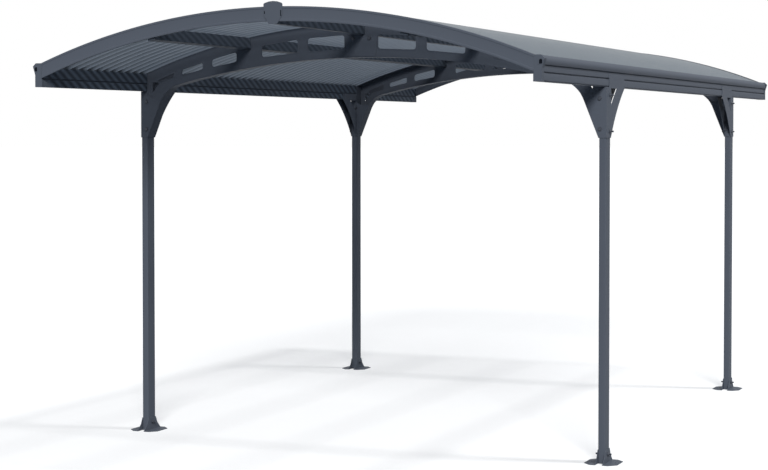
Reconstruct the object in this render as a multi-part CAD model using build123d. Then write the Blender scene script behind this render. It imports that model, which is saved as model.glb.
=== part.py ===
from build123d import *
import math
import os

# Arched carport: four posts carry two gutters and two arched ribs under a corrugated roof.
# X runs across the roof, Y runs along it with the front at low Y, and Z is up from the feet.
# All sizes are in millimetres.

# Roof
length = 5020.0
arch_rise = 251.3
wave_pitch = 76.0
wave_depth = 17.0
sheet_thickness = 1.2
sheet_count = 4
sheet_bends = 12
sheet_seat_height = 97.0

# Posts and gutters
post_spacing_x = 2636.0
post_spacing_y = 2866.0
post_width = 36.0
post_depth = 76.0
post_wall = 2.0
eave_height = 1892.0
gutter_width = 36.0
gutter_height = 118.0
gutter_wall = 2.0
groove_height = 41.0
groove_width = 7.0
groove_depth = 2.5
lip_start_height = 61.0
lip_flare = 13.0
lip_height = 103.0
lip_tuck = 16.0

# Fascia
fascia_depth = 72.0
fascia_sheet = 2.0
fascia_top_flange = 30.0
fascia_bottom_flange = 8.0

# Apex cap
cap_width = 102.0
cap_toe_width = 44.0
cap_body_drop = 44.0
cap_toe_drop = 84.0
cap_shoulder_rise = 10.0
cap_peak_rise = 26.0
cap_wall = 2.5
cap_hood = 34.0

# Corner caps
corner_plate = 2.0
corner_skirt = 32.0
corner_wall = 2.0
corner_flange_length = 104.0
corner_flange_height = 38.0
corner_flange_shoulder = 30.0
corner_flange_shoulder_height = 33.0
corner_notch = 13.0
corner_notch_height = 92.0

# Ribs
rib_sheet = 2.5
rib_top_chord = 60.0
rib_bottom_chord = 45.0
slot_apex_height = 74.8
slot_end_height = 7.8
slot_corner = 3.0
arm_lean = 68.0
arm_knee_radius = 170.0
arm_toe = 3.0
arm_window_width = 48.0
arm_window_height = 58.0
arm_window_inset = 34.0
arm_window_rise = 50.0
splice_width = 174.0
splice_margin = 4.0
splice_sheet = 2.5

# Purlins
purlin_width = 40.0
purlin_height = 60.0
purlin_wall = 2.0

# Brackets at the post heads
head_sheet = 2.5
head_drop = 256.0
head_shelf_drop = 37.0
head_shelf_inset = 38.0
head_reach = 294.0
head_toe = 2.0
head_sag = 18.0
head_tab_height = 41.0
head_tab_start = 11.0
head_tab_inset = 6.0
head_window_start = 6.0
head_window_width = 104.0
head_window_height = 86.0
head_window_drop = 6.0
inner_reach_cut = 24.0

# Foot brackets
foot_sheet = 3.0
foot_upright = 70.0
foot_reach = 68.0
foot_spread = 184.0
foot_chamfer = 38.0
foot_flare_inset = 10.0
anchor_hole_radius = 5.5
anchor_hole_reach = 44.0

# Shares of a rib's half span: where each slot starts and ends, and where the middle purlin lies
slot_shares = ((0.0746, 0.2393), (0.2854, 0.4508), (0.5693, 0.6863), (0.7301, 0.8294), (0.8694, 0.9448))
mid_purlin_share = 0.5232

# Clearance between seated pieces
fit_gap = 0.2

# Places worked out from the sizes above
end_y = length / 2
fascia_inner_y = end_y - fascia_sheet
sheet_end_y = end_y - max(fascia_sheet, corner_plate) - fit_gap
post_x = post_spacing_x / 2
post_y = post_spacing_y / 2
post_face_y = post_y + post_depth / 2
post_back_y = post_y - post_depth / 2
gutter_inner_x = post_x - gutter_width / 2
gutter_outer_x = post_x + gutter_width / 2
gutter_top = eave_height + gutter_height
rib_end_x = gutter_inner_x - fit_gap
mid_purlin_x = mid_purlin_share * rib_end_x
seat_x = gutter_inner_x + gutter_wall
seat_z = eave_height + sheet_seat_height
seat_radius = (seat_x**2 + arch_rise**2) / (2 * arch_rise)
roof_centre_z = seat_z + arch_rise - seat_radius
roof_half_angle = math.degrees(math.asin(post_x / seat_radius))
bend_angle = 2 * roof_half_angle / sheet_bends
valley_radius = (seat_radius + fit_gap) / math.cos(math.radians(bend_angle / 2))
crest_radius = valley_radius + wave_depth + sheet_thickness
roof_radius = crest_radius + fit_gap + fascia_sheet
apex_height = roof_centre_z + roof_radius
rib_chords = rib_top_chord + rib_bottom_chord
rib_rise = arch_rise - slot_apex_height + slot_end_height
rib_under_radius = (rib_end_x**2 + rib_rise**2) / (2 * rib_rise)
rib_under_centre_z = seat_z - rib_chords - slot_end_height + rib_rise - rib_under_radius
head_bottom = eave_height - head_drop
head_top = eave_height - fit_gap
head_outer_x = gutter_outer_x + fit_gap
roof_axis = Axis((0, 0, roof_centre_z), (0, 1, 0))


def height_on_arc(radius, x, centre_z=roof_centre_z):
    """Height at distance x from the middle on an arc about the roof's long axis."""
    return centre_z + math.sqrt(radius**2 - x**2)


def outline(points):
    """Flat face with straight sides through the points."""
    return make_face(Polyline(*points, close=True))


def cross_plate(face, y, depth):
    """Solid from a face drawn across the roof (X, Z), from y towards the front."""
    return Pos(0, y, 0) * extrude(Plane.XZ * face, depth)


def side_plate(face, x, depth):
    """Solid from a face drawn along the roof (Y, Z), from x outwards."""
    return Pos(x, 0, 0) * extrude(Plane.YZ * face, depth)


# Roof sheets
def wave_height(y):
    """Folded wave: 1 on a crest line and 0 in a valley line."""
    return abs(2 * ((y / wave_pitch) % 1.0) - 1)


def sheet_section(index):
    """Wave section of one sheet at the apex, between its two long edges."""
    pitch = 2 * sheet_end_y / sheet_count
    first = -sheet_end_y + index * pitch + fit_gap / 2
    last = first + pitch - fit_gap
    fold = wave_pitch / 2
    folds = [n * fold for n in range(math.ceil(first / fold), math.floor(last / fold) + 1)]
    base = roof_centre_z + valley_radius
    lower = [(y, base + wave_depth * wave_height(y)) for y in sorted({first, last, *folds})]
    upper = [(y, z + sheet_thickness) for y, z in reversed(lower)]
    return Plane.YZ * outline(lower + upper)


def roof_sheet(index):
    """One corrugated sheet, bent over the arch from gutter to gutter."""
    section = sheet_section(index)
    turns = [-roof_half_angle + n * bend_angle for n in range(sheet_bends + 1)]
    return loft([section.rotate(roof_axis, turn) for turn in turns], ruled=True)


# Posts and feet
def post():
    """Hollow post, standing on the ground and topped by the gutter."""
    inside = Rectangle(post_width - 2 * post_wall, post_depth - 2 * post_wall)
    tube = Rectangle(post_width, post_depth) - inside
    return Pos(post_x, -post_y, 0) * extrude(tube, head_top)


def foot_bracket():
    """Angle bracket beside a post: a flared upright and a chamfered flange."""
    narrow = post_depth / 2
    wide = foot_spread / 2
    waist = (narrow + wide) / 2 - foot_flare_inset
    right = [(narrow, foot_upright), (waist, foot_upright / 2), (wide, 0)]
    left = [(-y, z) for y, z in reversed(right)]
    upright = side_plate(outline(right + left), 0, foot_sheet)
    edge = wide - foot_chamfer
    start = foot_reach - foot_chamfer
    tip = [(foot_reach, -edge), (foot_reach, edge)]
    plan = outline([(0, -wide), (start, -wide), *tip, (start, wide), (0, wide)])
    hole = Pos(anchor_hole_reach, 0) * Circle(anchor_hole_radius)
    return upright + extrude(plan - hole, foot_sheet)


def outer_foot():
    """Foot bracket on the post's outer face."""
    return Pos(post_x + post_width / 2 + fit_gap, -post_y, 0) * foot_bracket()


def inner_foot():
    """Foot bracket on the post's inner face."""
    return Pos(post_x - post_width / 2 - fit_gap, -post_y, 0) * mirror(foot_bracket(), Plane.YZ)


# Gutters and corner caps
def lip_line(out):
    """Outer side of the gutter's section above its foot, moved outwards by a distance."""
    side = gutter_outer_x + out
    start = (side, eave_height + lip_start_height)
    flare = (side + lip_flare, eave_height + lip_height + out / 3)
    return [start, flare, (side + lip_flare - lip_tuck, gutter_top + out)]


def gutter():
    """Open-topped channel that the roof sheets drain into."""
    half = gutter_wall / 2
    seat = seat_z - fit_gap
    low = eave_height + groove_height
    side = gutter_outer_x - half
    corner = [(gutter_inner_x + half, seat), (gutter_inner_x + half, eave_height + half)]
    groove = [(side, eave_height + half), (side, low - groove_width / 2)]
    groove += [(side - groove_depth, low), (side, low + groove_width / 2)]
    path = Polyline(*corner, *groove, *lip_line(-half))
    run = length - 2 * (corner_plate + fit_gap)
    return cross_plate(trace(path, gutter_wall), run / 2, run)


def corner_cap():
    """Cap over a gutter's end: a front plate, a skirt round the lip and an inner flange."""
    inner_x = gutter_inner_x - fit_gap - corner_wall
    flange_top = eave_height + corner_flange_height
    skin = fit_gap + corner_wall
    closing = [(gutter_inner_x, gutter_top + skin), (gutter_inner_x, flange_top)]
    closing += [(inner_x, flange_top), (inner_x, eave_height)]
    front = outline([*closing, (gutter_outer_x + skin, eave_height), *lip_line(skin)])
    plate = cross_plate(front, -end_y + corner_plate, corner_plate)
    outer = outline([(gutter_outer_x + skin, eave_height), *lip_line(skin), *reversed(lip_line(fit_gap)),
                     (gutter_outer_x + fit_gap, eave_height)])
    skirt = cross_plate(outer, -end_y + corner_skirt, corner_skirt)
    shoulder = (-end_y + corner_flange_shoulder, eave_height + corner_flange_shoulder_height)
    side = outline([(-end_y, eave_height), (-end_y + corner_flange_length, eave_height), shoulder,
                    (-end_y, flange_top)])
    flange = side_plate(side, inner_x, corner_wall)
    notch_x = gutter_outer_x + lip_flare / 2
    notch = Pos(notch_x, -end_y, eave_height + corner_notch_height) * Box(*[corner_notch] * 3)
    return plate + skirt + flange - notch


# Fascia
def fascia():
    """Right half of the arched fascia, folded over the sheet's edge at top and bottom."""
    bottom = apex_height - fascia_depth
    line = [(-end_y, apex_height), (-end_y + fascia_top_flange, apex_height)]
    line += [(-end_y + fascia_top_flange, apex_height - fascia_sheet)]
    line += [(-fascia_inner_y, apex_height - fascia_sheet), (-fascia_inner_y, bottom + fascia_sheet)]
    line += [(-fascia_inner_y + fascia_bottom_flange, bottom + fascia_sheet)]
    line += [(-fascia_inner_y + fascia_bottom_flange, bottom), (-end_y, bottom)]
    band = revolve(Plane.YZ * outline(line), roof_axis, roof_half_angle)
    wide = Box(gutter_inner_x - 2 * fit_gap, length, apex_height, align=(Align.MIN, Align.MAX, Align.MIN))
    return band & Pos(fit_gap, 0, 0) * wide


def apex_cap():
    """Pentagon cap over the joint of the two fascia halves, with a hood over the roof's edge."""
    half = cap_width / 2
    toe = cap_toe_width / 2
    shoulder = apex_height + cap_shoulder_rise
    top = [(-half, shoulder), (0, apex_height + cap_peak_rise), (half, shoulder)]
    body = apex_height - cap_body_drop
    low = [(half, body), (toe, apex_height - cap_toe_drop), (-toe, apex_height - cap_toe_drop)]
    plate = cross_plate(outline([*top, *low, (-half, body)]), -end_y - fit_gap, cap_wall)
    inner = [(x * (1 - cap_wall / half), z - cap_wall) for x, z in reversed(top)]
    base = apex_height + fit_gap
    rim = [(half, base), (inner[0][0], base), *inner, (inner[-1][0], base), (-half, base)]
    hood = cross_plate(outline([*top, *rim]), -end_y + cap_hood, cap_hood + fit_gap + cap_wall)
    return plate + hood


# Ribs and their splice plates
def rib_outline(end_x):
    """Arch segment with its arm: roof arc above, flatter arc below and a knee between."""
    top = Pos(0, roof_centre_z) * Circle(seat_radius)
    under = Pos(0, rib_under_centre_z) * Circle(rib_under_radius)
    half = Pos(fit_gap, head_bottom) * Rectangle(end_x - fit_gap, apex_height, align=Align.MIN)
    foot_x = rib_end_x - arm_toe
    slope = math.tan(math.radians(arm_lean))
    arm_top = eave_height + gutter_height / 2
    arm = outline([(end_x, head_bottom), (foot_x, head_bottom),
                   (foot_x - (arm_top - head_bottom) / slope, arm_top), (end_x, arm_top)])
    knee_x = foot_x - head_drop / slope
    knee_z = height_on_arc(rib_under_radius, knee_x, rib_under_centre_z)
    whole = ((top - under) & half) + (arm & top)
    knees = whole.vertices().sort_by_distance((knee_x, knee_z))
    return fillet(knees[0], arm_knee_radius)


def slots():
    """Tapering slots between the two chords, and the small window over the arm."""
    holes = []
    for shares in slot_shares:
        ends = [share * rib_end_x for share in shares]
        high = [(x, height_on_arc(seat_radius - rib_top_chord, x)) for x in ends]
        low = [(x, height_on_arc(rib_under_radius + rib_bottom_chord, x, rib_under_centre_z)) for x in ends]
        hole = outline(high + low[::-1])
        holes.append(chamfer(hole.vertices(), slot_corner))
    right = rib_end_x - arm_window_inset
    high = eave_height + arm_window_rise
    holes.append(outline([(right, high), (right, high - arm_window_height), (right - arm_window_width, high)]))
    return holes


def purlin_notch(x):
    """Room for a purlin in a rib's top edge."""
    tall = purlin_height + 2 * fit_gap
    block = Box(purlin_width + 2 * fit_gap, length, tall, align=(Align.CENTER, Align.CENTER, Align.MAX))
    return place_on_arc(block, x)


def rib():
    """Right half of a rib: a pressed pan with its web outwards and a rim all round."""
    face = rib_outline(rib_end_x)
    pan = cross_plate(face, -post_back_y, post_depth)
    pocket = offset(face, -rib_sheet, kind=Kind.INTERSECTION)
    pan -= cross_plate(pocket, -post_back_y, post_depth - rib_sheet)
    for hole in slots():
        pan -= cross_plate(hole, -post_face_y + 2 * rib_sheet, 3 * rib_sheet)
    return pan - purlin_notch(0) - purlin_notch(mid_purlin_x)


def rib_splice():
    """Plate over the joint of the two rib halves."""
    above = Pos(0, roof_centre_z) * Circle(seat_radius - rib_top_chord - splice_margin)
    below = Pos(0, rib_under_centre_z) * Circle(rib_under_radius + splice_margin)
    tall = Pos(-splice_width / 2, 0) * Rectangle(splice_width, apex_height, align=Align.MIN)
    return cross_plate((above - below) & tall, -post_face_y - fit_gap, splice_sheet)


# Purlins
def place_on_arc(shape, x):
    """Move a piece drawn about the origin to stand on the frame's arc at distance x."""
    angle = math.degrees(math.asin(x / seat_radius))
    return (Pos(0, 0, roof_centre_z + seat_radius) * shape).rotate(roof_axis, angle)


def purlin(x):
    """Rectangular tube along the roof, square to the arch."""
    run = 2 * (fascia_inner_y - fascia_bottom_flange - fit_gap)
    inside = Rectangle(purlin_width - 2 * purlin_wall, purlin_height - 2 * purlin_wall)
    tube = Plane.XZ * (Rectangle(purlin_width, purlin_height) - inside)
    return place_on_arc(Pos(0, run / 2, -purlin_height / 2 - fit_gap) * extrude(tube, run), x)


# Brackets at the post heads
def arm_plate(y, end_x):
    """Plate over the post's head and the rib's arm, under the gutter."""
    shelf = eave_height - head_shelf_drop
    shelf_x = rib_end_x - head_shelf_inset
    reach = outline([(0, head_bottom), (end_x, head_bottom), (end_x, head_top),
                     (gutter_outer_x - fit_gap, head_top), (shelf_x, shelf), (0, shelf)])
    return cross_plate(rib_outline(end_x) & reach, y, head_sheet)


def brace_face(start, reach, tab_start):
    """Curved brace from a post to the gutter, with a tab that laps the gutter's side."""
    foot = (-post_back_y + head_toe, head_bottom)
    tip = (-post_y + reach, head_top)
    mid_y = (foot[0] + tip[0]) / 2
    mid_z = (foot[1] + tip[1]) / 2
    lean = math.hypot(tip[0] - foot[0], tip[1] - foot[1])
    bow_y = mid_y - head_sag * (tip[1] - foot[1]) / lean
    bow_z = mid_z + head_sag * (tip[0] - foot[0]) / lean
    curve = ThreePointArc(foot, (bow_y, bow_z), tip)
    tab_top = eave_height + head_tab_height
    tab_end = tip[0] - head_tab_inset
    back = -post_y + tab_start
    rest = Polyline(tip, (tab_end, head_top), (tab_end, tab_top), (back, tab_top), (back, head_top),
                    (start, head_top), (start, head_bottom), foot)
    window_y = -post_back_y + head_window_start
    window_top = eave_height - head_window_drop
    window = outline([(window_y, window_top), (window_y + head_window_width, window_top),
                      (window_y, window_top - head_window_height)])
    return make_face([curve, *rest.edges()]) - window


def outer_head_bracket():
    """Bracket folded round the post's outer corner, with one arm across and one along."""
    front_y = -post_face_y - fit_gap
    face = brace_face(front_y - head_sheet, head_reach, head_tab_start)
    front = arm_plate(front_y, head_outer_x + head_sheet)
    return front + side_plate(face, head_outer_x, head_sheet)


def inner_head_bracket():
    """Bracket behind the post, with one arm across and one along inside the gutter."""
    back_y = -post_back_y + fit_gap
    face = brace_face(back_y, head_reach - inner_reach_cut, post_depth / 2 + head_sheet)
    brace = side_plate(face, rib_end_x - head_sheet, head_sheet)
    return arm_plate(back_y + head_sheet, gutter_outer_x) + brace


def write(name, shape):
    """Save one piece under its name."""
    export_step(shape, f"parts/{name}.step")


def main():
    """Build every piece and save it; left and rear pieces mirror the front right ones."""
    os.makedirs("parts", exist_ok=True)
    corner_pieces = {"post": post(), "foot_outer": outer_foot(), "foot_inner": inner_foot(),
                     "head_bracket_outer": outer_head_bracket(),
                     "head_bracket_inner": inner_head_bracket(),
                     "rib": rib(), "fascia": fascia(), "gutter_cap": corner_cap()}
    for name, right in corner_pieces.items():
        left = mirror(right, Plane.YZ)
        write(f"{name}_front_right", right)
        write(f"{name}_front_left", left)
        write(f"{name}_rear_right", mirror(right, Plane.XZ))
        write(f"{name}_rear_left", mirror(left, Plane.XZ))
    for name, front in {"rib_splice": rib_splice(), "apex_cap": apex_cap()}.items():
        write(f"{name}_front", front)
        write(f"{name}_rear", mirror(front, Plane.XZ))
    for name, right in {"gutter": gutter(), "mid_purlin": purlin(mid_purlin_x)}.items():
        write(f"{name}_right", right)
        write(f"{name}_left", mirror(right, Plane.YZ))
    write("ridge_purlin", purlin(0))
    for index in range(sheet_count):
        write(f"roof_sheet_{index + 1}", roof_sheet(index))


main()
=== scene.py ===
import logging
import math
from collections.abc import Iterable, Mapping, Sequence
from dataclasses import dataclass
from enum import Enum

import bmesh
import bpy
import numpy as np
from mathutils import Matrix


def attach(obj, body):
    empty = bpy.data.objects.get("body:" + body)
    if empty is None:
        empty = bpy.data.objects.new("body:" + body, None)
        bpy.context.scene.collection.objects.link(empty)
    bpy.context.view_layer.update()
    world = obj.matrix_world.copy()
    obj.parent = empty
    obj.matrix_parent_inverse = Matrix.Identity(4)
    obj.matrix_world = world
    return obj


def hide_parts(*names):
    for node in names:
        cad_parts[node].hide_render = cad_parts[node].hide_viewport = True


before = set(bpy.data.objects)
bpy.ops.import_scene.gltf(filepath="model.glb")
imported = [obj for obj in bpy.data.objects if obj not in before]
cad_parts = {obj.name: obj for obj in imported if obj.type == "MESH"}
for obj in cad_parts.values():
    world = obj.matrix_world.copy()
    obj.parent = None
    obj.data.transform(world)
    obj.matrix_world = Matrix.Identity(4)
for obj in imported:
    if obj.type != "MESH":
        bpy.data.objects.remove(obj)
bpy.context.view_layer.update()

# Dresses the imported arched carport: rolled fascias, gutters, a corrugated roof, pressed ribs,
# brackets, bolts, finishes, studio and camera. All lengths are in metres.

LOG = logging.getLogger("carport")
BODY = "root"
# The angle in degrees past which an edge stays sharp, and the distance kept between neighbours
SHARP = 32.0
GAP = 0.0002
WHITE = (1.0, 1.0, 1.0, 1.0)

Colour = tuple[float, float, float]
Place = tuple[float, float, float]
Outline = Sequence[Sequence[float]]


class Slot(Enum):
    """Material slots of the part's record."""

    FRAME = "frame"
    CAP = "cap"
    ROOF = "roof_sheet"


def mirrors(**signs: tuple[int, int]) -> dict[str, np.ndarray]:
    """Factors along X, Y and Z that carry a piece from the front or the right to each named place."""
    return {name: np.array((*pair, 1), float) for name, pair in signs.items()}


CORNERS = mirrors(front_right=(1, 1), front_left=(-1, 1), rear_right=(1, -1), rear_left=(-1, -1))
ENDS = mirrors(front=(1, 1), rear=(-1, -1))
SIDES = mirrors(right=(1, 1), left=(-1, 1))


# Curves and surfaces
def unit(vectors: np.ndarray) -> np.ndarray:
    """Vectors divided by their own lengths."""
    return vectors / np.linalg.norm(vectors, axis=-1, keepdims=True)


def rounded_path(corners: Outline, radius: float, steps: int = 5, closed: bool = False) -> np.ndarray:
    """Path through corners, each replaced by a quadratic curve between points a radius away from it.

    Args:
        corners: points in a plane, in order.
        radius: distance from a corner at which its curve starts and ends.
        steps: points on each curve.
        closed: whether the last corner joins the first.

    Returns:
        The path's points, one row each.
    """
    points = np.asarray(corners, float)
    middle = points if closed else points[1:-1]
    before = np.roll(points, 1, axis=0) if closed else points[:-2]
    after = np.roll(points, -1, axis=0) if closed else points[2:]
    start = middle + unit(before - middle) * radius
    end = middle + unit(after - middle) * radius
    t = np.linspace(0, 1, steps)[None, :, None]
    curve = (1 - t) ** 2 * start[:, None] + 2 * t * (1 - t) * middle[:, None] + t**2 * end[:, None]
    curve = curve.reshape(-1, points.shape[1])
    return curve if closed else np.concatenate([points[:1], curve, points[-1:]])


def spread_grid(x: np.ndarray, y: np.ndarray, z: np.ndarray) -> np.ndarray:
    """Points of a surface from their coordinates, each spread over the others' parameters."""
    return np.stack(np.broadcast_arrays(x, y, z), axis=-1)


def strip_outline(path: np.ndarray, thickness: float) -> np.ndarray:
    """Closed outline of bent sheet: the path moved half a thickness to each side along its normals.

    Args:
        path: centreline of the sheet's section.
        thickness: the sheet's thickness.

    Returns:
        The outline's points, up one side and back along the other.
    """
    tangent = unit(np.gradient(path, axis=0))
    normal = np.stack([-tangent[:, 1], tangent[:, 0]], axis=1) * thickness / 2
    return np.concatenate([path + normal, (path - normal)[::-1]])


def grid_faces(rows: int, columns: int, wrap: bool = False, loop: bool = False) -> np.ndarray:
    """Quads of a grid of points: each point joins its neighbours along both parameters.

    Args:
        rows: points along the first parameter.
        columns: points along the second parameter.
        wrap: whether the last column joins the first.
        loop: whether the last row joins the first.

    Returns:
        One row of four point numbers for each quad.
    """
    down = np.arange(rows if loop else rows - 1)
    row, column = np.meshgrid(down, np.arange(columns if wrap else columns - 1), indexing="ij")
    beside = (column + 1) % columns
    below = (row + 1) % rows
    quads = [(row, column), (below, column), (below, beside), (row, beside)]
    return np.stack([down * columns + right for down, right in quads], axis=-1).reshape(-1, 4)


def grown(corners: np.ndarray, distance: float) -> np.ndarray:
    """Corners of a polygon whose sides are moved outwards by a distance.

    Each corner moves by the sum of the outward normals of its two sides over one plus their product.

    Args:
        corners: the polygon's corners, anticlockwise.
        distance: how far the sides move.

    Returns:
        The moved corners.
    """
    along = unit(np.roll(corners, -1, axis=0) - corners)
    out = np.stack([along[:, 1], -along[:, 0]], axis=1)
    before = np.roll(out, 1, axis=0)
    return corners + distance * (out + before) / (1 + np.sum(out * before, axis=1, keepdims=True))


def rectangle(left: float, low: float, right: float, high: float) -> np.ndarray:
    """Corners of a rectangle, anticlockwise."""
    return np.array([(left, low), (right, low), (right, high), (left, high)])


def ring(corners: Outline, y: float, radius: float, grow: float = 0.0, steps: int = 5) -> np.ndarray:
    """Rounded polygon standing at a place along the roof.

    Args:
        corners: the polygon's corners, across the roof and up, anticlockwise.
        y: the place along the roof.
        radius: distance from a corner at which its curve starts and ends.
        grow: how far the polygon's sides first move outwards.
        steps: points on each curve.

    Returns:
        The ring's points, one row each.
    """
    path = rounded_path(grown(np.asarray(corners, float), grow), radius, steps, closed=True)
    return np.stack([path[:, 0], np.full(len(path), y), path[:, 1]], axis=-1)


def plate_rings(corners: Outline, back: float, front: float, radius: float, inset: float, drop: float,
                steps: int = 5) -> np.ndarray:
    """Rings of a plate from its back to its front, whose front edge is broken.

    Args:
        corners, radius, steps: as ring takes them.
        back: place of the plate's back along the roof.
        front: place of its front.
        inset: how far the front is drawn in.
        drop: how far before the front, seen from the back, the broken edge starts.

    Returns:
        Points by ring, place on the ring and coordinate.
    """
    start = front + math.copysign(drop, back - front)
    return np.stack([ring(corners, back, radius, steps=steps), ring(corners, start, radius, steps=steps),
                     ring(corners, front, radius, -inset, steps)])


class Shell:
    """Surface of one piece, gathered as points and faces and then made a mesh."""

    def __init__(self) -> None:
        """Start with no points."""
        self.points: list[np.ndarray] = []
        self.faces: list[list[int]] = []
        self.count = 0

    def add(self, points: np.ndarray, faces: Iterable[Sequence[int]]) -> "Shell":
        """Add points (rows of three) and faces that number them from 0; like each add, gives the shell."""
        first = self.count
        self.points.append(np.asarray(points, float).reshape(-1, 3))
        self.faces += (np.asarray(faces, int) + first).tolist()
        self.count += len(self.points[-1])
        return self

    def add_tube(self, rings: np.ndarray) -> "Shell":
        """Add a closed surface through rings of points, with a face over each end.

        Args:
            rings: points by ring, place on the ring and coordinate.
        """
        rows, columns = rings.shape[:2]
        self.add(rings, grid_faces(rows, columns, wrap=True))
        first = self.count - rows * columns
        self.faces.append(list(range(first, first + columns)))
        self.faces.append(list(range(first + (rows - 1) * columns, first + rows * columns)))
        return self

    def add_loop(self, rings: np.ndarray) -> "Shell":
        """Add a ring-shaped surface through rings of points, the last of which joins the first."""
        return self.add(rings, grid_faces(*rings.shape[:2], wrap=True, loop=True))

    def carried(self, signs: np.ndarray) -> "Shell":
        """Copy with every point's coordinates multiplied by the signs."""
        copy = Shell()
        copy.points = [points * signs for points in self.points]
        copy.faces = self.faces
        copy.count = self.count
        return copy

    def build(self, name: str, finish: "Finish", node: bool = False, closed: bool = True,
              sharp: float = SHARP) -> bpy.types.Object:
        """Make the piece.

        Args:
            name: name of the piece, or of the node whose place it takes.
            finish: its material and slot.
            node: whether it takes a node's place.
            closed: whether the surface is closed, so that its faces are turned outwards.
            sharp: angle in degrees past which an edge stays sharp.

        Returns:
            The new object, which rides on the carport's body.
        """
        title = f"{name}_dressed" if node else name
        mesh = bpy.data.meshes.new(title)
        mesh.from_pydata(np.concatenate(self.points).tolist(), [], self.faces)
        if closed:
            turn_outwards(mesh)
        piece = place(title, mesh, sharp)
        if node:
            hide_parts(name)
        finish.dress(piece)
        return piece

    def spread(self, kind: str, places: Mapping[str, np.ndarray], finish: "Finish", node: bool = False,
               sharp: float = SHARP) -> list[bpy.types.Object]:
        """Make the piece at each of its places, which are given as signs by name, as build does."""
        return [self.carried(signs).build(f"{kind}_{label}", finish, node, sharp=sharp)
                for label, signs in places.items()]


def turn_outwards(mesh: bpy.types.Mesh) -> None:
    """Turn a closed mesh's faces outwards."""
    work = bmesh.new()
    work.from_mesh(mesh)
    bmesh.ops.recalc_face_normals(work, faces=work.faces)
    work.to_mesh(mesh)
    work.free()


def link(name: str, data: bpy.types.ID) -> bpy.types.Object:
    """Object in the scene that holds a mesh, lamp or camera."""
    made = bpy.data.objects.new(name, data)
    bpy.context.scene.collection.objects.link(made)
    return made


def place(name: str, mesh: bpy.types.Mesh, sharp: float) -> bpy.types.Object:
    """Piece at the origin, smooth between sharp edges, riding on the body."""
    mesh.shade_smooth()
    mesh.set_sharp_from_angle(angle=math.radians(sharp))
    piece = link(name, mesh)
    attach(piece, BODY)
    return piece


def softened(node: str, width: float, merge: float = 1e-6, flat: float = 0.5) -> bpy.types.Object:
    """Copy of a node with its edges broken, which replaces the node.

    Args:
        node: name of the node.
        width: width of the broken edge.
        merge: distance under which points become one.
        flat: angle in degrees under which faces become one.

    Returns:
        The new piece.
    """
    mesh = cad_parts[node].data.copy()
    work = bmesh.new()
    work.from_mesh(mesh)
    bmesh.ops.remove_doubles(work, verts=work.verts, dist=merge)
    bmesh.ops.dissolve_limit(work, angle_limit=math.radians(flat), verts=work.verts, edges=work.edges)
    bmesh.ops.recalc_face_normals(work, faces=work.faces)
    work.to_mesh(mesh)
    work.free()
    mesh.materials.clear()
    piece = place(f"{node}_dressed", mesh, SHARP)
    edge = piece.modifiers.new("edge", "BEVEL")
    edge.width = width
    edge.segments = 2
    edge.limit_method = "ANGLE"
    edge.angle_limit = math.radians(SHARP)
    edge.harden_normals = True
    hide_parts(node)
    return piece


# Shader maths
class Value:
    """Number socket with arithmetic: each operator adds one Math node."""

    def __init__(self, graph: "Graph", socket: bpy.types.NodeSocket) -> None:
        """Wrap a socket of the graph."""
        self.graph = graph
        self.socket = socket

    def _math(self, operation: str, *terms: "Value | float") -> "Value":
        """Value of a Math node on the terms."""
        return self.graph.node("ShaderNodeMath", {"operation": operation}, dict(enumerate(terms)))

    def __add__(self, other: "Value | float") -> "Value":
        """Sum."""
        return self._math("ADD", self, other)

    def __sub__(self, other: "Value | float") -> "Value":
        """Difference."""
        return self._math("SUBTRACT", self, other)

    def __rsub__(self, other: float) -> "Value":
        """Difference with the value on the right."""
        return self._math("SUBTRACT", other, self)

    def __mul__(self, other: "Value | float") -> "Value":
        """Product."""
        return self._math("MULTIPLY", self, other)

    def wave(self, pitch: float) -> "Value":
        """Wave between 0 and 1 that repeats with a pitch."""
        return self._math("COSINE", self * (2 * math.pi / pitch)) * 0.5 + 0.5

    def within(self, low: float, high: float) -> "Value":
        """Value held between two limits."""
        return self._math("MINIMUM", self._math("MAXIMUM", self, low), high)


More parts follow.
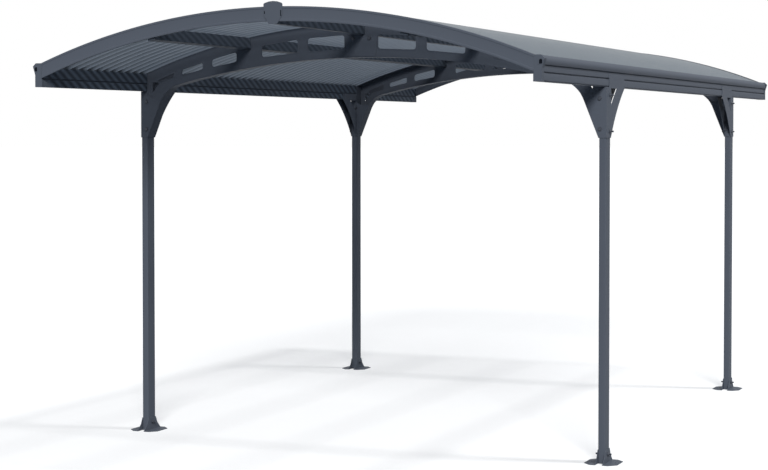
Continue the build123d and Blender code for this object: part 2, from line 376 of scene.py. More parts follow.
class Graph:
    """Nodes of one material or world."""

    def __init__(self, owner: bpy.types.Material | bpy.types.World) -> None:
        """Clear the owner's nodes."""
        owner.use_nodes = True
        self.tree = owner.node_tree
        self.tree.nodes.clear()

    def node(self, kind: str, settings: dict | None = None, inputs: dict | None = None,
             output: int | str = 0) -> Value:
        """Make a node, set it up and link it.

        Args:
            kind: type of the node.
            settings: properties that are set before the sockets.
            inputs: value or link of each socket, by its name or number.
            output: socket that the result wraps.

        Returns:
            The chosen output.
        """
        made = self.tree.nodes.new(kind)
        for key, setting in (settings or {}).items():
            setattr(made, key, setting)
        for key, given in (inputs or {}).items():
            if isinstance(given, Value):
                self.tree.links.new(given.socket, made.inputs[key])
            else:
                made.inputs[key].default_value = given
        return Value(self, made.outputs[output]) if len(made.outputs) else Value(self, None)

    def coordinates(self) -> Value:
        """The object's own coordinates, in metres."""
        return self.node("ShaderNodeTexCoord", output="Object")

    def along(self, vector: Value, axis: int) -> Value:
        """One coordinate of a vector."""
        return self.node("ShaderNodeSeparateXYZ", None, {0: vector}, axis)

    def scaled(self, vector: Value, factors: Sequence[float]) -> Value:
        """Vector multiplied by a factor on each axis."""
        return self.node("ShaderNodeVectorMath", {"operation": "MULTIPLY"}, {0: vector, 1: tuple(factors)})

    def noise(self, vector: Value, size: float, detail: float = 2.0) -> Value:
        """Soft noise between 0 and 1 with spots of a size in metres."""
        inputs = {"Vector": vector, "Scale": 1 / size, "Detail": detail}
        return self.node("ShaderNodeTexNoise", None, inputs, "Fac")

    def mixed(self, factor: Value, first: Colour, second: Colour) -> Value:
        """Colour between two colours."""
        inputs = {0: factor, 6: (*first, 1.0), 7: (*second, 1.0)}
        return self.node("ShaderNodeMix", {"data_type": "RGBA"}, inputs, 2)

    def toned(self, factor: Value, colour: Colour, low: float, high: float) -> Value:
        """Colour made darker or lighter by something between two factors."""
        return self.mixed(factor, tuple(part * low for part in colour), tuple(part * high for part in colour))

    def bumped(self, height: Value, depth: float) -> Value:
        """Normal of a surface raised by a height between 0 and 1 times a depth in metres."""
        return self.node("ShaderNodeBump", None, {"Height": height, "Distance": depth, "Strength": 1.0})

    def blended(self, factor: Value, first: Value, second: Value) -> Value:
        """Surface between two surfaces."""
        return self.node("ShaderNodeMixShader", None, {0: factor, 1: first, 2: second})


class Coating:
    """A finish that describes its surface."""

    def surface(self, graph: Graph) -> Value:
        """Shader of the surface."""
        raise NotImplementedError

    def make(self, name: str) -> bpy.types.Material:
        """Build the material."""
        material = bpy.data.materials.new(name)
        graph = Graph(material)
        graph.node("ShaderNodeOutputMaterial", None, {"Surface": self.surface(graph)})
        return material


@dataclass(frozen=True)
class PowderCoat(Coating):
    """Satin powder coat on sheet metal: slow drifts of tone, a fine orange peel, a clear gloss and, where a
    stripe pitch is set, painted diagonal stripes of light and shade.
    """

    colour: Colour
    roughness: float = 0.5
    shine: float = 0.02
    tone_spread: float = 0.07
    tone_size: float = 0.45
    peel_size: float = 0.0022
    peel_depth: float = 0.00005
    speck_share: float = 0.25
    speck_scale: float = 6.0
    least: float = 0.2
    gloss_spread: float = 0.12
    # Painted light and shade: diagonal stripes like the light through the corrugated roof on walls under it,
    # set by pitch, slope, top height and light and dark factors
    painted_stripe_pitch: float = 0.0
    painted_stripe_slope: float = 1.63
    painted_stripe_top: float = 1.985
    painted_stripe_light: float = 1.1
    painted_stripe_dark: float = 0.42

    def surface(self, graph: Graph) -> Value:
        """Shader of the surface."""
        spot = graph.coordinates()
        tone = graph.noise(spot, self.tone_size, detail=3.0)
        speck = graph.noise(spot, self.peel_size * self.speck_scale, detail=1.0)
        blend = (tone * (1 - self.speck_share) + speck * self.speck_share).within(self.least, 1 - self.least)
        colour = graph.toned(blend, self.colour, 1 - self.tone_spread, 1 + self.tone_spread)
        # Painted light and shade: bright and dark diagonal stripes replace the colour and stand in for light
        # let through by the corrugated roof
        if self.painted_stripe_pitch:
            slanted = graph.along(spot, 1) + (graph.along(spot, 2) - self.painted_stripe_top) * self.painted_stripe_slope
            painted_light_stripes = slanted.wave(self.painted_stripe_pitch)
            colour = graph.toned(painted_light_stripes, self.colour, self.painted_stripe_light, self.painted_stripe_dark)
        peel = graph.noise(spot, self.peel_size)
        return graph.node("ShaderNodeBsdfPrincipled", None, {
            "Base Color": colour,
            "Roughness": tone * self.gloss_spread + (self.roughness - self.gloss_spread / 2),
            "Specular IOR Level": self.shine,
            "Normal": graph.bumped(peel, self.peel_depth)})


@dataclass(frozen=True)
class SmokedSheet(Coating):
    """Smoked corrugated plastic: painted highlight on the crests and painted shade in the valleys, streaks
    along the waves, a little light let through.
    """

    colour: Colour
    glow: Colour
    pitch: float
    roughness: float = 0.3
    painted_crest_highlight: float = 0.12
    streak_tone: float = 0.05
    streak_share: float = 0.4
    streak_size: float = 0.05
    streak_stretch: Place = (0.6, 14.0, 0.6)
    gloss_spread: float = 0.1
    grain_size: float = 0.003
    grain_depth: float = 0.00004
    shine: float = 0.35
    coat: float = 0.03
    coat_roughness: float = 0.2
    let_through: float = 0.1
    valley_glow: float = 0.75

    def surface(self, graph: Graph) -> Value:
        """Shader of the surface."""
        spot = graph.coordinates()
        crest = graph.along(spot, 1).wave(self.pitch)
        streak = graph.noise(graph.scaled(spot, self.streak_stretch), self.streak_size)
        blend = (crest * (1 - self.streak_share) + streak * self.streak_share).within(0.0, 1.0)
        # Painted light and shade: crests lighter and valleys darker in the base colour, standing in for the
        # waves' shading
        spread = self.painted_crest_highlight + self.streak_tone
        colour = graph.toned(blend, self.colour, 1 - spread, 1 + spread)
        grain = graph.noise(spot, self.grain_size)
        body = graph.node("ShaderNodeBsdfPrincipled", None, {
            "Base Color": colour,
            "Roughness": streak * self.gloss_spread + (self.roughness - self.gloss_spread / 2),
            "Specular IOR Level": self.shine,
            "Coat Weight": self.coat,
            "Coat Roughness": self.coat_roughness,
            "Normal": graph.bumped(grain, self.grain_depth)})
        glow = graph.node("ShaderNodeBsdfTranslucent", None, {"Color": (*self.glow, 1.0)})
        milky = graph.blended((1 - crest) * self.valley_glow + self.let_through, body, glow)
        clear = graph.node("ShaderNodeBsdfTransparent", None, {"Color": WHITE})
        lamp_ray = graph.node("ShaderNodeLightPath", output="Is Shadow Ray")
        slant = graph.node("ShaderNodeLayerWeight", None, {"Blend": 0.5}, "Facing")
        return graph.blended(lamp_ray * (1 - slant), milky, clear)


@dataclass(frozen=True)
class Steel(Coating):
    """Dark coated steel of the bolts: a touch of metal under a worn coat."""

    colour: Colour
    roughness: float = 0.42
    wear_size: float = 0.004
    wear_depth: float = 0.00005
    dull: float = 0.8
    bright: float = 1.25
    metal: float = 0.3
    gloss_spread: float = 0.15

    def surface(self, graph: Graph) -> Value:
        """Shader of the surface."""
        wear = graph.noise(graph.coordinates(), self.wear_size, detail=3.0)
        return graph.node("ShaderNodeBsdfPrincipled", None, {
            "Base Color": graph.toned(wear, self.colour, self.dull, self.bright),
            "Metallic": wear * self.metal,
            "Roughness": wear * self.gloss_spread + self.roughness,
            "Normal": graph.bumped(wear, self.wear_depth)})


@dataclass(frozen=True)
class Finish:
    """A material and the slot that it stands for."""

    material: bpy.types.Material
    slot: Slot

    def dress(self, piece: bpy.types.Object) -> None:
        """Give a piece the material."""
        piece.data.materials.clear()
        piece.data.materials.append(self.material)
        LOG.info("%s: %d faces", piece.name, len(piece.data.polygons))


class Palette:
    """The carport's finishes."""

    def __init__(self, pitch: float) -> None:
        """Make each finish once, for waves of a pitch."""
        coat = PowderCoat((0.085, 0.097, 0.12))
        # Painted light and shade: coat for the gutters' inner walls, bluer and darker on average, with
        # painted diagonal stripes of the light through the roof
        painted_stripe_coat = PowderCoat((0.083, 0.103, 0.134), painted_stripe_pitch=pitch)
        # Painted shade: the purlins' coat is darker and bluer than the frame's, like the shade under the
        # roof, with fainter painted stripes of light
        painted_shade_coat = PowderCoat((0.078, 0.095, 0.122), painted_stripe_pitch=pitch, painted_stripe_light=0.92, painted_stripe_dark=0.56)
        # Painted shade: near-black that stands in for the shade inside the apex caps' slots and the end caps'
        # holes
        dark = PowderCoat((0.008, 0.010, 0.014), roughness=0.8, shine=0.0)
        cap = PowderCoat((0.083, 0.095, 0.117), roughness=0.55, peel_size=0.0015)
        sheet = SmokedSheet((0.108, 0.131, 0.152), (0.27, 0.305, 0.352), pitch)
        steel = Steel((0.034, 0.04, 0.054))
        self.frame = Finish(coat.make("anthracite_powder_coat"), Slot.FRAME)
        self.painted_stripe_coat = painted_stripe_coat.make("painted_stripe_powder_coat")
        self.painted_shade_coat = Finish(painted_shade_coat.make("painted_shade_powder_coat"), Slot.FRAME)
        self.dark = Finish(dark.make("painted_shade_black"), Slot.CAP)
        self.cap = Finish(cap.make("anthracite_cap"), Slot.CAP)
        self.roof = Finish(sheet.make("smoked_roof_sheet"), Slot.ROOF)
        self.bolt = Finish(steel.make("dark_steel"), Slot.FRAME)

    def painted_light_stripes(self, piece: bpy.types.Object, reach: float) -> None:
        """Give a dressed piece's faces that lie nearer to the middle than a reach the coat with painted
        stripes of light and shade.
        """
        piece.data.materials.append(self.painted_stripe_coat)
        count = len(piece.data.polygons)
        centres = np.empty(count * 3)
        piece.data.polygons.foreach_get("center", centres)
        inside = np.abs(centres.reshape(-1, 3)[:, 0]) < reach
        piece.data.polygons.foreach_set("material_index", inside.astype(np.int32))


# Sizes shared by the sub-assemblies
@dataclass(frozen=True)
class Arch:
    """The roof's arc, as the frame's seat for the sheets sets it, and the pitch of its waves."""

    seat_x: float = 1.302
    seat_z: float = 1.989
    rise: float = 0.2513
    post_x: float = 1.318
    bends: int = 12
    pitch: float = 0.076

    @property
    def seat_radius(self) -> float:
        """Radius of the arc that the sheets rest on, from its half span and rise."""
        return (self.seat_x**2 + self.rise**2) / (2 * self.rise)

    @property
    def centre_z(self) -> float:
        """Height of the arc's centre."""
        return self.seat_z + self.rise - self.seat_radius

    @property
    def half_angle(self) -> float:
        """Half of the angle that the sheets cover."""
        return math.asin(self.post_x / self.seat_radius)

    @property
    def valley_radius(self) -> float:
        """Radius of the sheets' lowest lines."""
        return (self.seat_radius + GAP) / math.cos(self.half_angle / self.bends)

    def height(self, radius: np.ndarray | float, x: np.ndarray | float) -> np.ndarray | float:
        """Height at x on an arc of a radius about the centre."""
        return self.centre_z + np.sqrt(radius**2 - x**2)


@dataclass
class Roof:
    """The corrugated sheets."""

    arch: Arch
    palette: Palette
    depth: float = 0.017
    thickness: float = 0.0012
    count: int = 4
    end_y: float = 2.5078
    steps_per_wave: int = 8
    steps_across: int = 72
    sharp: float = 60.0

    @property
    def crest_radius(self) -> float:
        """Radius of the sheets' highest lines."""
        return self.arch.valley_radius + self.depth + self.thickness

    def surface(self, index: int) -> np.ndarray:
        """Middle surface of one sheet.

        A point at angle a from the apex and distance y along the roof lies on a circle about the
        arch's centre, whose radius rises and falls as the cosine of y over the pitch.

        Args:
            index: number of the sheet, from the front.

        Returns:
            Points by place along the roof, angle and coordinate.
        """
        arch = self.arch
        width = 2 * self.end_y / self.count
        first = -self.end_y + index * width + GAP / 2
        steps = round(width / arch.pitch * self.steps_per_wave)
        y = np.linspace(first, first + width - GAP, steps + 1)[:, None]
        a = np.linspace(-1, 1, self.steps_across + 1)[None, :] * arch.half_angle
        lift = 0.5 + 0.5 * np.cos(2 * np.pi * y / arch.pitch)
        radius = arch.valley_radius + self.thickness / 2 + self.depth * lift
        return spread_grid(radius * np.sin(a), y, arch.centre_z + radius * np.cos(a))

    def build(self) -> None:
        """Make every sheet, each in the place of its node."""
        for index in range(self.count):
            grid = self.surface(index)
            shell = Shell().add(grid, grid_faces(*grid.shape[:2])[:, ::-1])
            sheet = shell.build(f"roof_sheet_{index + 1}", self.palette.roof, node=True, closed=False,
                                sharp=self.sharp)
            wall = sheet.modifiers.new("wall", "SOLIDIFY")
            wall.thickness = self.thickness
            wall.offset = 0


@dataclass
class Fascia:
    """The arched fascias over the roof's ends, with a roll along each edge."""

    arch: Arch
    palette: Palette
    crest_radius: float
    end_y: float = 2.51
    depth: float = 0.072
    sheet: float = 0.002
    roll: float = 0.009
    recess: float = 0.0016
    top_flange: float = 0.03
    bottom_flange: float = 0.008
    end_x: float = 1.2996
    bend: float = 0.0009
    bend_steps: int = 4
    steps: int = 72

    @property
    def radius(self) -> float:
        """Radius of the fascia's top."""
        return self.crest_radius + GAP + self.sheet

    def section(self) -> np.ndarray:
        """Outline of the bent sheet, in distance along the roof and radius."""
        half = self.sheet / 2
        front = -self.end_y + half
        top = self.radius - half
        low = self.radius - self.depth + half
        inner = front + self.recess
        path = [(-self.end_y + self.top_flange, top), (front, top), (front, top - self.roll),
                (inner, top - self.roll - self.recess), (inner, low + self.roll + self.recess),
                (front, low + self.roll), (front, low), (-self.end_y + self.bottom_flange, low)]
        return strip_outline(rounded_path(path, self.bend, self.bend_steps), self.sheet)

    def surface(self) -> np.ndarray:
        """The outline carried along the arch: each point at a share of the half span, on its own circle."""
        y, radius = self.section().T[:, None]
        x = np.linspace(GAP, self.end_x, self.steps + 1)[:, None]
        return spread_grid(x, y, self.arch.height(radius, x))

    def build(self) -> None:
        """Make the four halves."""
        Shell().add_tube(self.surface()).spread("fascia", CORNERS, self.palette.frame, node=True)


@dataclass
class Gutters:
    """The two gutters, with grooves along both sides, a rolled lip and a bevel under the outer side."""

    palette: Palette
    inner_x: float = 1.3
    outer_x: float = 1.336
    base_z: float = 1.892
    height: float = 0.118
    wall: float = 0.002
    seat: float = 0.0968
    run: float = 5.0156
    groove: float = 0.007
    groove_half: float = 0.004
    high_half: float = 0.0022
    low_groove: float = 0.041
    high_groove: float = 0.075
    lip_flare: float = 0.013
    lip_step: float = 0.006
    lip_height: float = 0.103
    lip_tuck: float = 0.016
    lip_roll: float = 0.016
    lip_steps: int = 11
    draft: float = 0.0006
    bevel: float = 0.005
    bend: float = 0.0009
    bend_steps: int = 4
    tab_x: float = 1.3386
    tab_start: float = -1.4225
    tab_end: float = -1.1445
    tab_low: float = 1.9325
    tab_high: float = 1.958
    tab_round: float = 0.003
    tab_edge: float = 0.0008

    def section(self) -> np.ndarray:
        """Outline of the bent sheet, across the roof and up."""
        half = self.wall / 2
        inner = self.inner_x + half
        outer = self.outer_x - half
        low = self.base_z + self.low_groove
        high = self.base_z + self.high_groove
        lip_top = self.base_z + self.lip_height
        slope = (self.lip_flare - self.lip_step) / (lip_top - high)
        side = [(inner, self.base_z + self.seat), *self.channel(inner, low, 1, self.groove_half),
                (inner, self.base_z + half)]
        side += [(outer - self.bevel, self.base_z + half), (outer, self.base_z + half + self.bevel),
                 *self.channel(outer, low, -1, self.groove_half)[::-1]]
        corner = np.array((outer + self.lip_flare, lip_top))
        below = corner - np.array((slope, 1)) * self.lip_roll
        tip = np.array((outer + self.lip_flare - self.lip_tuck, self.base_z + self.height))
        t = np.linspace(0, 1, self.lip_steps)[:, None]
        roll = (1 - t) ** 2 * below + 2 * t * (1 - t) * corner + t**2 * tip
        groove = self.channel(outer, high, -1, self.high_half)[::-1]
        groove[-1] = (outer + self.lip_step, groove[-1][1])
        lip = rounded_path(side + groove + [tuple(below)], self.bend, self.bend_steps)
        return strip_outline(np.concatenate([lip[:-1], roll]), self.wall)

    def channel(self, x: float, z: float, inwards: int, mouth: float) -> list[tuple[float, float]]:
        """Corners of a groove in a wall at x, about height z and half its mouth high, from its top down."""
        floor = x + inwards * self.groove
        narrow = mouth - self.draft
        return [(x, z + mouth), (floor, z + narrow), (floor, z - narrow), (x, z - mouth)]

    def build(self) -> None:
        """Make both gutters, the outline carried along the roof, and the tabs of the braces over them."""
        x, z = self.section().T[:, None]
        y = np.array([-self.run / 2, self.run / 2])[:, None]
        right = Shell().add_tube(spread_grid(x, y, z))
        for piece in right.spread("gutter", SIDES, self.palette.frame, node=True):
            # Painted light and shade: the inner walls take the darker coat with painted stripes
            self.palette.painted_light_stripes(piece, self.inner_x + self.wall / 2)
        self.tab().spread("gutter_tab", CORNERS, self.palette.frame)

    def tab(self) -> Shell:
        """Top of a brace's tab: a plate over the lower groove, turned to face the side."""
        outline = rectangle(self.tab_start, self.tab_low, self.tab_end, self.tab_high)
        rings = plate_rings(outline, self.outer_x + GAP, self.tab_x, self.tab_round,
                            self.tab_edge, self.tab_edge)
        return Shell().add_tube(rings[..., (1, 0, 2)])


@dataclass
class Tubes:
    """Posts and purlins: tubes with rounded corners, carried along a straight line."""

    arch: Arch
    palette: Palette
    post_y: float = 1.433
    post_width: float = 0.036
    post_depth: float = 0.076
    post_top: float = 1.8918
    post_round: float = 0.004
    round_steps: int = 6
    sharp: float = 50.0
    purlin_width: float = 0.04
    purlin_height: float = 0.06
    purlin_half_run: float = 2.4998
    purlin_round: float = 0.003
    mid_x: float = 0.68005

    def box_outline(self, width: float, depth: float, radius: float) -> np.ndarray:
        """Rectangle about the origin with rounded corners."""
        corners = rectangle(-width / 2, -depth / 2, width / 2, depth / 2)
        return rounded_path(corners, radius, self.round_steps, closed=True)

    def build_posts(self) -> None:
        """Make the four posts."""
        x, y = self.box_outline(self.post_width, self.post_depth, self.post_round).T[:, None]
        z = np.array([0.0, self.post_top])[:, None]
        post = Shell().add_tube(spread_grid(self.arch.post_x + x, y - self.post_y, z))
        post.spread("post", CORNERS, self.palette.frame, node=True, sharp=self.sharp)

    def build_purlins(self) -> None:
        """Make the three purlins, each square to the arch where it lies."""
        across, up = self.box_outline(self.purlin_width, self.purlin_height, self.purlin_round).T[:, None]
        out = self.arch.seat_radius - GAP - self.purlin_height / 2 + up
        y = np.array([-self.purlin_half_run, self.purlin_half_run])[:, None]
        places = {"ridge_purlin": 0.0, "mid_purlin_right": self.mid_x, "mid_purlin_left": -self.mid_x}
        for node, x in places.items():
            lean = math.asin(x / self.arch.seat_radius)
            px = across * math.cos(lean) + out * math.sin(lean)
            pz = self.arch.centre_z - across * math.sin(lean) + out * math.cos(lean)
            tube = Shell().add_tube(spread_grid(px, y, pz))
            # Painted shade: the purlins take the darkened coat with painted stripes
            tube.build(node, self.palette.painted_shade_coat, node=True, sharp=self.sharp)


@dataclass
class Pressings:
    """Ribs, splices, caps and brackets: the nodes' own shapes with broken edges."""

    palette: Palette
    edge: float = 0.0007

    def build(self) -> None:
        """Make every pressed piece."""
        kinds = ("rib", "head_bracket_outer", "head_bracket_inner", "foot_outer", "foot_inner")
        metal = [f"{kind}_{label}" for kind in kinds for label in CORNERS]
        for node in metal + [f"rib_splice_{label}" for label in ENDS]:
            self.palette.frame.dress(softened(node, self.edge))
        for label in CORNERS:
            self.palette.cap.dress(softened(f"gutter_cap_{label}", self.edge))


@dataclass
class SlotRims:
    """Rolled rims round the slots in the ribs' webs, with rounded corners."""

    arch: Arch
    palette: Palette
    shares: tuple[tuple[float, float], ...] = ((0.0746, 0.2393), (0.2854, 0.4508), (0.5693, 0.6863),
                                               (0.7301, 0.8294), (0.8694, 0.9448))
    rib_end_x: float = 1.2998
    top_chord: float = 0.06
    bottom_chord: float = 0.045
    apex_height: float = 0.0748
    end_height: float = 0.0078
    web_y: float = 1.471
    sheet: float = 0.0025
    rim: float = 0.007
    raise_by: float = 0.0022
    hump: tuple[tuple[float, float], ...] = ((0.0, 0.6), (0.2, 1.0), (0.6, 0.8))
    lining: float = 0.0012
    sink: float = 0.0004
    belly: float = 0.0006
    corner: float = 0.017
    corner_share: float = 0.42
    steps: int = 7
    sharp: float = 60.0
    # Painted shade: a dark plate behind the last slot, its thickness, margin and rounding
    shade_plate: float = 0.0006
    shade_plate_margin: float = 0.006
    shade_plate_round: float = 0.008

    def corners(self, ends: tuple[float, float]) -> np.ndarray:
        """Corners of a slot, on the arcs under the top chord and over the low chord.

        Args:
            ends: shares of the half span where the slot starts and ends.

        Returns:
            Four corners, across the roof and up.
        """
        x = np.asarray(ends) * self.rib_end_x
        high = self.arch.height(self.arch.seat_radius - self.top_chord, x)
        rise = self.arch.rise - self.apex_height + self.end_height
        radius = (self.rib_end_x**2 + rise**2) / (2 * rise)
        end_z = self.arch.seat_z - self.top_chord - self.bottom_chord - self.end_height
        low = end_z + rise - radius + np.sqrt((radius + self.bottom_chord) ** 2 - x**2)
        return np.array([(x[0], low[0]), (x[1], low[1]), (x[1], high[1]), (x[0], high[0])])

    def surface(self, ends: tuple[float, float]) -> np.ndarray:
        """Rim of one slot: a hump-shaped profile carried round the slot.

        Each row of the profile is the slot's outline grown by a distance, its corners rounded in step,
        at a height over the web.

        Args:
            ends: shares of the half span where the slot starts and ends.

        Returns:
            Points by place round the slot, place on the profile and coordinate.
        """
        corners = self.corners(ends)
        narrow = min(np.linalg.norm(corners[1] - corners[2]), np.linalg.norm(corners[0] - corners[3]))
        radius = min(self.corner, self.corner_share * narrow)
        rows = [(0.0, GAP - self.sheet)]
        rows += [(self.rim * across, self.raise_by * up) for across, up in self.hump]
        rows += [(self.rim, -self.sink), (self.rim / 2, -self.belly),
                 (self.lining, 2 * GAP - self.sheet)]
        return np.stack([ring(corners, -self.web_y - height, radius + grow, grow, self.steps)
                         for grow, height in rows], axis=1)

    def build(self) -> None:
        """Make the rims of each rib half as one piece, and a dark plate behind the last slot as painted shade
        seen through it.
        """
        rims = Shell()
        for ends in self.shares:
            rims.add_loop(self.surface(ends))
        rims.spread("slot_rims", CORNERS, self.palette.frame, sharp=self.sharp)
        # Painted shade: the dark plate that closes the last slot
        behind = self.sheet + GAP - self.web_y
        last = self.corners(self.shares[-1])
        rings = [ring(last, y, self.shade_plate_round, self.shade_plate_margin, self.steps)
                 for y in (behind + self.shade_plate, behind)]
        Shell().add_tube(np.stack(rings)).spread("slot_painted_shade", CORNERS, self.palette.bolt)


@dataclass
class ApexCaps:
    """Caps over the fascias' joints: a plate with a rounded head, a hood that narrows and two near-black
    bars, painted shade that stands in for slots at the plate's sides.
    """

    palette: Palette
    face_y: float = 2.5127
    setback: float = 0.0006
    wall: float = 0.0025
    hood: float = 0.034
    hood_x: float = 0.0505
    hood_height: float = 0.026
    hood_steps: int = 6
    base_z: float = 2.2629
    taper: float = 0.3
    fall: float = 0.004
    round: float = 0.002
    edge: float = 0.0006
    foot: tuple[tuple[float, float], ...] = ((0.022, 2.1787), (0.0475, 2.2187))
    head: tuple[tuple[float, float], ...] = ((0.0503, 2.2735), (0.046, 2.2786), (0.022, 2.2858))
    peak_z: float = 2.2876
    # Painted shade: places and sizes of the near-black bars that stand in for the shade in slots
    painted_slot_shades: tuple[tuple[float, float, float], ...] = ((-0.0443, 2.2276, 2.2412), (0.0419, 2.2156, 2.2442))
    slot_shade_width: float = 0.0046
    slot_shade_height: float = 0.0016
    slot_shade_round: float = 0.001
    slot_shade_drop: float = 0.0004

    @staticmethod
    def mirrored(points: Outline) -> list[tuple[float, float]]:
        """Points carried to the other side of the middle, in reverse order."""
        return [(-x, z) for x, z in reversed(points)]

    def head_line(self) -> list[tuple[float, float]]:
        """Corners of the head, from its right end over the peak to its left end."""
        return [*self.head, (0.0, self.peak_z), *self.mirrored(self.head)]

    def cap_shell(self) -> Shell:
        """The plate and the hood: the head's line and its wall, carried back while they narrow and fall."""
        outline = [*self.foot, *self.head_line(), *self.mirrored(self.foot)]
        shell = Shell().add_tube(plate_rings(outline, self.wall - self.face_y, self.setback - self.face_y,
                                             self.round, self.edge, self.edge))
        over = [(self.hood_x, self.base_z), *self.head_line(), (-self.hood_x, self.base_z)]
        line = rounded_path(over, self.round)
        inner = line * (1 - self.wall / self.hood_x, 1) - (0, self.wall)
        inner[:, 1] = np.maximum(inner[:, 1], self.base_z)
        across, up = np.concatenate([line, inner[::-1]]).T[:, None]
        t = np.linspace(0, 1, self.hood_steps)[:, None]
        z = self.base_z + (up - self.base_z) * (1 - self.fall / self.hood_height * t)
        y = self.wall - self.face_y - GAP + (self.hood - self.wall) * t
        return shell.add_tube(spread_grid(across * (1 - self.taper * t), y, z))

    def slot_shade_shell(self) -> Shell:
        """Near-black rounded bars pushed through the plate at its sides: painted shade in place of slots."""
        shell = Shell()
        half = self.slot_shade_width / 2
        for x, low, high in self.painted_slot_shades:
            outline = rectangle(x - half, low, x + half, high)
            shell.add_tube(plate_rings(outline, self.slot_shade_height - self.face_y, -self.face_y, self.slot_shade_round,
                                       self.edge, self.slot_shade_drop, steps=4))
        return shell

    def build(self) -> None:
        """Make both caps and the near-black bars of painted slot shade."""
        self.cap_shell().spread("apex_cap", ENDS, self.palette.cap, node=True)
        self.slot_shade_shell().spread("apex_slot_shades", ENDS, self.palette.dark)


@dataclass
class CapHoles:
    """Collars round the holes in the gutters' end caps, with a near-black block set back in each as painted
    shade inside the hole.
    """

    palette: Palette
    face_y: float = 2.5108
    back_y: float = 2.5082
    hole_shade_y: float = 2.5103
    hole: tuple[tuple[float, float], ...] = (
        (1.3245, 1.9705), (1.3412, 1.9712), (1.3395, 1.9924), (1.3268, 1.9924))
    collar: tuple[tuple[float, float], ...] = (
        (1.3195, 1.9665), (1.3421, 1.9665), (1.3509, 1.9946), (1.3195, 1.9968))
    hole_round: float = 0.006
    collar_round: float = 0.0012
    edge: float = 0.0004
    hole_shade_depth: float = 0.001
    hole_shade_overlap: float = 0.0006
    steps: int = 6
    sharp: float = 50.0

    def rings(self, corners: Outline, radius: float, rows: Sequence[tuple[float, float]]) -> list[np.ndarray]:
        """Rounded outlines in front of the roof's middle, one for each distance and growth."""
        return [ring(corners, -y, radius, grow, self.steps) for y, grow in rows]

    def build(self) -> None:
        """Make the collar of each corner and the near-black block of painted shade in its hole."""
        shoulder = self.face_y - self.edge
        within = self.rings(self.hole, self.hole_round,
                            ((self.back_y, 0.0), (shoulder, 0.0), (self.face_y, self.edge)))
        around = self.rings(self.collar, self.collar_round,
                            ((self.face_y, -self.edge), (shoulder, 0.0), (self.back_y, 0.0)))
        collar = Shell().add_loop(np.stack(within + around))
        collar.spread("cap_collar", CORNERS, self.palette.cap, sharp=self.sharp)
        # Painted shade: a near-black block set back in the hole
        ends = ((self.back_y - self.hole_shade_depth, self.hole_shade_overlap), (self.hole_shade_y, self.hole_shade_overlap))
        hole_shade = Shell().add_tube(np.stack(self.rings(self.hole, self.hole_round, ends)))
        hole_shade.spread("cap_hole_shade", CORNERS, self.palette.dark)


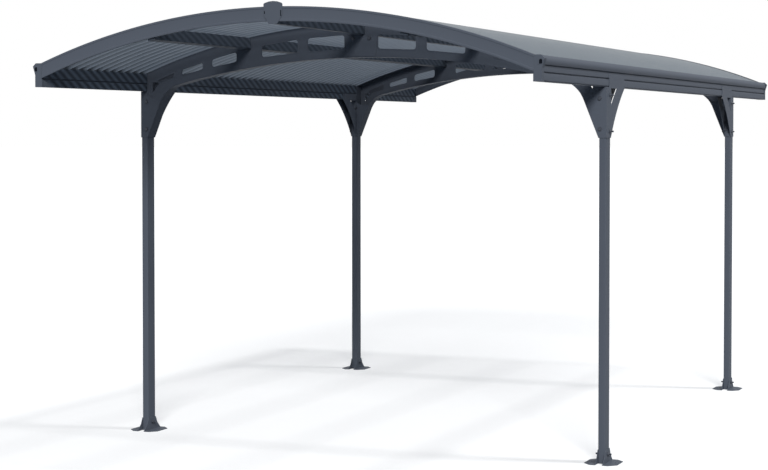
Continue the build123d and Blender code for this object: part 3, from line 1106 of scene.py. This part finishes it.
@dataclass
class Bolts:
    """Hex bolts with washers at the post heads, feet and splices."""

    palette: Palette
    washer: float = 0.011
    washer_height: float = 0.0014
    across: float = 0.0095
    head_height: float = 0.0065
    stud: float = 0.0045
    stud_length: float = 0.012
    chamfer: float = 0.001
    crown: float = 0.82
    stud_tip: float = 0.75
    turns: int = 24
    front_y: float = -1.4737
    back_y: float = -1.3923
    head_outer_x: float = 1.3387
    head_inner_x: float = 1.2973
    foot_outer_x: float = 1.3392
    foot_inner_x: float = 1.2968
    heads: tuple[tuple[float, float], ...] = ((1.304, 1.834), (1.304, 1.681))
    sides: tuple[tuple[float, float], ...] = ((-1.412, 1.851), (-1.413, 1.669))
    foot: tuple[float, float] = (-1.433, 0.044)
    splice: tuple[tuple[float, float], ...] = ((-0.048, 2.16), (0.048, 2.16))

    def shape(self, stud: bool) -> tuple[np.ndarray, np.ndarray]:
        """Bolt about the Z axis: rings of a lathe profile, whose head's radius follows a hexagon.

        Args:
            stud: whether a threaded end stands out of the head.

        Returns:
            Points and faces; the last faces close the top.
        """
        a = np.linspace(0, 2 * np.pi, self.turns, endpoint=False)
        hexagon = math.cos(math.pi / 6) / np.cos(a % (math.pi / 3) - math.pi / 6)
        circle = np.ones_like(a)
        top = self.washer_height + self.head_height
        tip = top + self.stud_length
        rows = [(circle * self.washer, 0), (circle * self.washer, self.washer_height),
                (hexagon * self.across, self.washer_height), (hexagon * self.across, top - self.chamfer),
                (circle * self.across * self.crown, top)]
        if stud:
            rows += [(circle * self.stud, top), (circle * self.stud, tip - self.chamfer),
                     (circle * self.stud * self.stud_tip, tip)]
        radius = np.array([row[0] for row in rows])
        z = np.array([np.full_like(a, row[1]) for row in rows])
        points = np.stack([radius * np.cos(a), radius * np.sin(a), z], axis=-1)
        centre = points[-1].mean(axis=0, keepdims=True)
        faces = grid_faces(len(rows), self.turns, wrap=True)
        last = (len(rows) - 1) * self.turns + np.arange(self.turns)
        following = np.roll(last, -1)
        cap = np.stack([last, np.full_like(last, len(rows) * self.turns), following, following], axis=1)
        return np.concatenate([points.reshape(-1, 3), centre]), np.concatenate([faces, cap])

    def add(self, shell: Shell, spots: Outline, normal: Place, stud: bool = False) -> None:
        """Add a bolt at each spot, standing along the normal."""
        points, faces = self.shape(stud)
        out = np.asarray(normal, float)
        side = np.roll(out, 1)
        turned = points @ np.stack([side, np.cross(out, side), out])
        for spot in spots:
            shell.add(turned + np.asarray(spot), faces)

    def corner_shell(self) -> Shell:
        """Bolts of the front right post: head bracket, both braces and the foot."""
        shell = Shell()
        self.add(shell, [(x, self.front_y, z) for x, z in self.heads], (0, -1, 0))
        self.add(shell, [(x, self.back_y, z) for x, z in self.heads], (0, 1, 0), stud=True)
        for outwards, head_x, foot_x in ((1, self.head_outer_x, self.foot_outer_x),
                                         (-1, self.head_inner_x, self.foot_inner_x)):
            self.add(shell, [(head_x, y, z) for y, z in self.sides], (outwards, 0, 0), stud=True)
            self.add(shell, [(foot_x, *self.foot)], (outwards, 0, 0), stud=True)
        return shell

    def build(self) -> None:
        """Make the bolts of the splices and of each corner."""
        splice = Shell()
        self.add(splice, [(x, self.front_y, z) for x, z in self.splice], (0, -1, 0))
        splice.spread("splice_bolts", ENDS, self.palette.bolt)
        self.corner_shell().spread("bolts", CORNERS, self.palette.bolt)


def seen(graph: Graph) -> Value:
    """1 where the ray comes from the camera or from a mirror or glass, 0 for light that lights."""
    kinds = ("Is Camera Ray", "Is Glossy Ray", "Is Transmission Ray")
    rays = [graph.node("ShaderNodeLightPath", output=kind) for kind in kinds]
    return (rays[0] + rays[1] + rays[2]).within(0.0, 1.0)


@dataclass(frozen=True)
class PaleFloor(Coating):
    """Floor that is white to the eye, still holds the shadows and throws back little light."""

    bounce: Colour = (0.12, 0.14, 0.165)
    pale: Colour = (1.0, 1.0, 1.0)
    white: float = 0.32

    def surface(self, graph: Graph) -> Value:
        """Shader of the surface."""
        eye = seen(graph)
        lit = graph.node("ShaderNodeBsdfDiffuse", None, {"Color": graph.mixed(eye, self.bounce, self.pale)})
        white = graph.node("ShaderNodeEmission", None, {"Color": WHITE, "Strength": 1.0})
        return graph.blended(eye * self.white, lit, white)


@dataclass
class Studio:
    """Floor, light, background and camera."""

    floor: PaleFloor = PaleFloor()
    floor_size: float = 500.0
    sky: float = 0.42
    sky_tint: Colour = (0.95, 1.0, 1.07)
    key_strength: float = 2.88
    key_softness: float = 0.3
    key_from: Place = (0.38, -0.80, 0.46)
    sun_strength: float = 1.3
    sun_softness: float = 0.12
    sun_from: Place = (0.428, 0.092, 0.899)
    camera_place: Place = (3.8705, -10.252, 1.6649)
    heading: float = 23.07
    pitch_down: float = 1.595
    focal_px: float = 1815.8
    centre_rise_px: float = 52.2
    width_px: float = 768.0
    sensor: float = 36.0
    farthest: float = 200.0

    def build_floor(self) -> None:
        """Wide floor under the carport."""
        half = self.floor_size / 2
        corners = [(x, y, 0.0) for x, y in rectangle(-half, -half, half, half).tolist()]
        mesh = bpy.data.meshes.new("studio_floor")
        mesh.from_pydata(corners, [], [(0, 1, 2, 3)])
        mesh.materials.append(self.floor.make("studio_floor"))
        link("studio_floor", mesh)

    def build_light(self) -> None:
        """Even light from all round, a soft key lamp from the front and a soft sun from the right."""
        world = bpy.data.worlds.new("studio")
        bpy.context.scene.world = world
        graph = Graph(world)
        sky = graph.node("ShaderNodeBackground", None, {"Color": (*self.sky_tint, 1.0), "Strength": self.sky})
        white = graph.node("ShaderNodeBackground", None, {"Color": WHITE, "Strength": 1.0})
        mixed = graph.blended(seen(graph), sky, white)
        graph.node("ShaderNodeOutputWorld", None, {"Surface": mixed})
        self.build_lamp("sun", self.sun_strength, self.sun_softness, self.sun_from)
        self.build_lamp("key", self.key_strength, self.key_softness, self.key_from)

    @staticmethod
    def build_lamp(name: str, strength: float, softness: float, towards: Place) -> None:
        """Far lamp of a strength and angular size, in the direction given."""
        data = bpy.data.lights.new(name, "SUN")
        data.energy = strength
        data.angle = softness
        x, y, z = towards
        tilt = math.acos(z / math.hypot(x, y, z))
        link(name, data).rotation_euler = (tilt, 0.0, math.atan2(y, x) + math.pi / 2)

    def build_camera(self) -> None:
        """Camera at the photograph's angle."""
        data = bpy.data.cameras.new("camera")
        data.sensor_width = self.sensor
        data.lens = self.focal_px / self.width_px * data.sensor_width
        data.shift_y = -self.centre_rise_px / self.width_px
        data.clip_end = self.farthest
        camera = link("camera", data)
        camera.location = self.camera_place
        camera.rotation_euler = (math.radians(90 - self.pitch_down), 0.0, math.radians(self.heading))
        bpy.context.scene.camera = camera

    def build(self) -> None:
        """Make the whole studio."""
        self.build_floor()
        self.build_light()
        self.build_camera()
        bpy.context.scene.view_settings.view_transform = "Standard"
        LOG.info("studio ready")


def main() -> None:
    """Dress the carport, piece by piece, and set the studio."""
    logging.basicConfig(level=logging.INFO, format="%(name)s: %(message)s")
    arch = Arch()
    palette = Palette(arch.pitch)
    roof = Roof(arch, palette)
    roof.build()
    Fascia(arch, palette, roof.crest_radius).build()
    Gutters(palette).build()
    tubes = Tubes(arch, palette)
    tubes.build_posts()
    tubes.build_purlins()
    Pressings(palette).build()
    SlotRims(arch, palette).build()
    ApexCaps(palette).build()
    CapHoles(palette).build()
    Bolts(palette).build()
    Studio().build()


if __name__ == "__main__":
    main()
